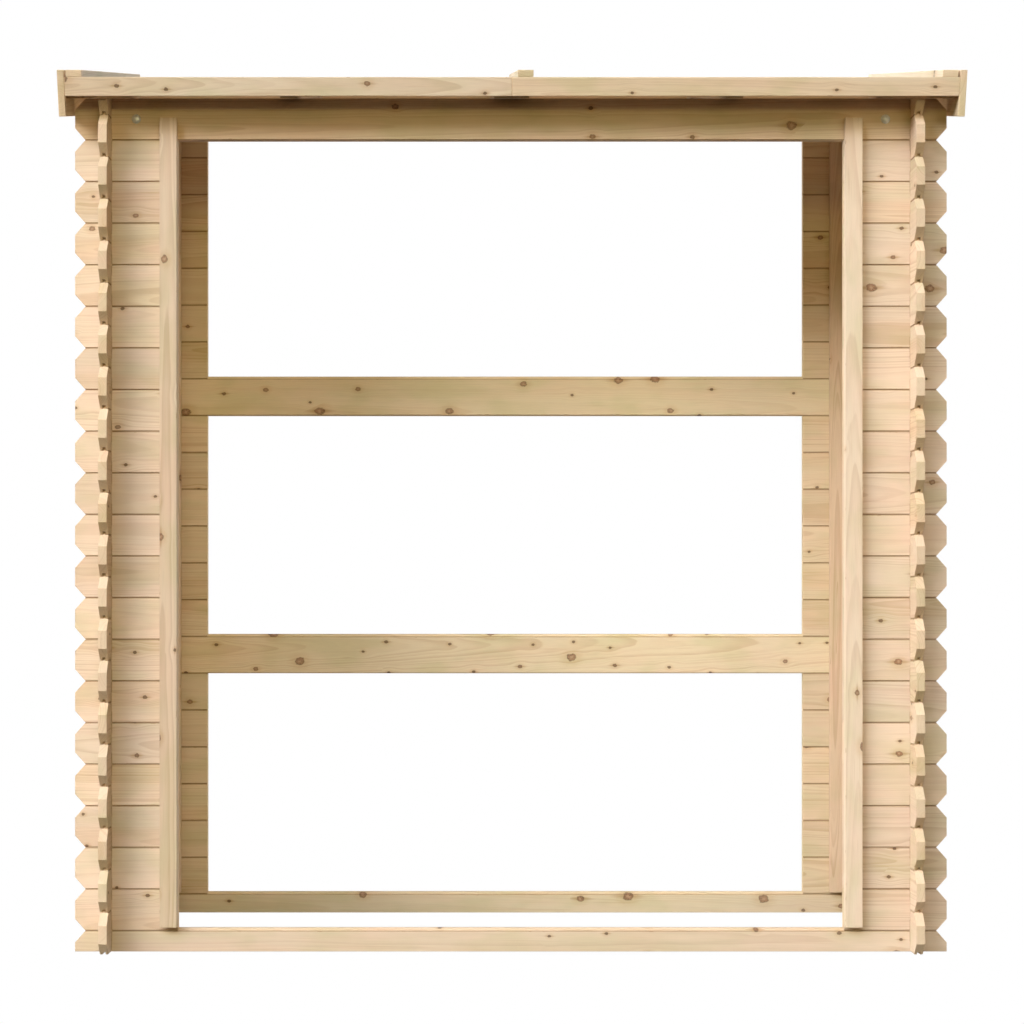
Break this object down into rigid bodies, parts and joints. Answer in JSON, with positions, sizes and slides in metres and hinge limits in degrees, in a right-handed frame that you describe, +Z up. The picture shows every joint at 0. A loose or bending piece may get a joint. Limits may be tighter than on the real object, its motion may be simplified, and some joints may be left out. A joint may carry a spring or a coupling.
{
  "type": "log store",
  "caption": "Open-fronted firewood store of interlocking pine boards crossed at the corners, with back rails and a single-slope felted roof.",
  "frame": {"origin": "on the ground, at the middle of the plan of the walls", "axes": "+Z up, the open front faces -Y, +X to the right of someone who stands in front of it"},
  "size_m": [1.9656, 0.8117, 2.1234],
  "materials": {
    "pale_pine": "planed, untreated pine, matt",
    "shaded_pine": "planed, untreated pine, matt",
    "trim_pine": "planed, untreated pine, matt",
    "roof_pine": "planed, untreated pine, matt",
    "roofing_felt": "bitumen felt with a mineral surface, matt",
    "zinc_steel": "zinc-plated"
  },
  "bodies": {
    "root": {"left_wall_logs": "pale_pine", "right_wall_logs": "pale_pine", "left_gable_logs": "pale_pine", "right_gable_logs": "pale_pine", "front_sill_log": "pale_pine", "front_left_stub_logs": "pale_pine", "front_right_stub_logs": "pale_pine", "front_top_log": "pale_pine", "back_sill_log": "shaded_pine", "back_left_lower_stub_logs": "shaded_pine", "back_right_lower_stub_logs": "shaded_pine", "back_lower_rail_log": "shaded_pine", "back_left_middle_stub_logs": "shaded_pine", "back_right_middle_stub_logs": "shaded_pine", "back_upper_rail_log": "shaded_pine", "back_left_upper_stub_logs": "shaded_pine", "back_right_upper_stub_logs": "shaded_pine", "back_top_log": "shaded_pine", "front_left_outer_upright": "trim_pine", "front_right_outer_upright": "trim_pine", "front_left_inner_upright": "trim_pine", "front_right_inner_upright": "trim_pine", "back_left_inner_upright": "trim_pine", "back_right_inner_upright": "trim_pine", "front_left_bolt": "zinc_steel", "front_right_bolt": "zinc_steel", "back_left_bolt": "zinc_steel", "back_right_bolt": "zinc_steel", "left_rafters": "roof_pine", "right_rafters": "roof_pine", "left_roof_boards": "roof_pine", "right_roof_boards": "roof_pine", "front_left_fascia": "trim_pine", "front_right_fascia": "trim_pine", "back_left_fascia": "trim_pine", "back_right_fascia": "trim_pine", "roofing_felt": "roofing_felt", "left_felt_batten": "trim_pine", "middle_felt_batten": "trim_pine", "right_felt_batten": "trim_pine", "left_barge_board": "trim_pine", "right_barge_board": "trim_pine"}
  },
  "joints": []
}
